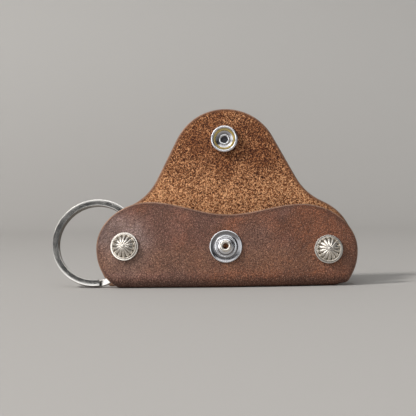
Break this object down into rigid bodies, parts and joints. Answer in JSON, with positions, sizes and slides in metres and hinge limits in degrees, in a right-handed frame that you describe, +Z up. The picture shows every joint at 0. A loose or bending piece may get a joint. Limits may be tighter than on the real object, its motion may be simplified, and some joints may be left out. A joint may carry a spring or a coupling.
{
  "type": "key case",
  "caption": "Folded leather key case with a bell-shaped snap flap, sunburst concho posts at both ends and a split ring on one post.",
  "frame": {"origin": "centre of the flat foot of the fold, on the surface that the case stands on", "axes": "+Z up, +X to the right along the fold as seen from the front, the front panel and its conchos face -Y"},
  "size_m": [0.1254, 0.0253, 0.0728],
  "materials": {
    "leather": "brown oiled cowhide, smooth grain outside and rough flesh inside",
    "nickel": "polished nickel plate",
    "brass": "bright spring wire",
    "polished_steel": "polished steel wire"
  },
  "bodies": {
    "case": {"case_hide": "leather", "left_concho": "nickel", "right_concho": "nickel", "left_post": "nickel", "right_post": "nickel", "left_back_screw": "nickel", "right_back_screw": "nickel", "snap_stud": "nickel", "stud_eyelet": "nickel"},
    "flap": {"flap_hide": "leather", "snap_socket": "nickel", "socket_spring": "brass", "snap_cap": "nickel"},
    "ring": {"split_ring": "polished_steel"}
  },
  "joints": [
    {"name": "flap_fold", "type": "hinge", "parent": "case", "child": "flap", "pos_m": [0.00019, 0.0012, 0.03846], "axis": [0.9999, 0.0015, 0.0108], "range_deg": [0, 180]},
    {"name": "ring_swing", "type": "hinge", "parent": "case", "child": "ring", "pos_m": [-0.04004, 0.00335, 0.01601], "axis": [0.1047, 0.9847, -0.1392], "range_deg": [0, 70]}
  ]
}
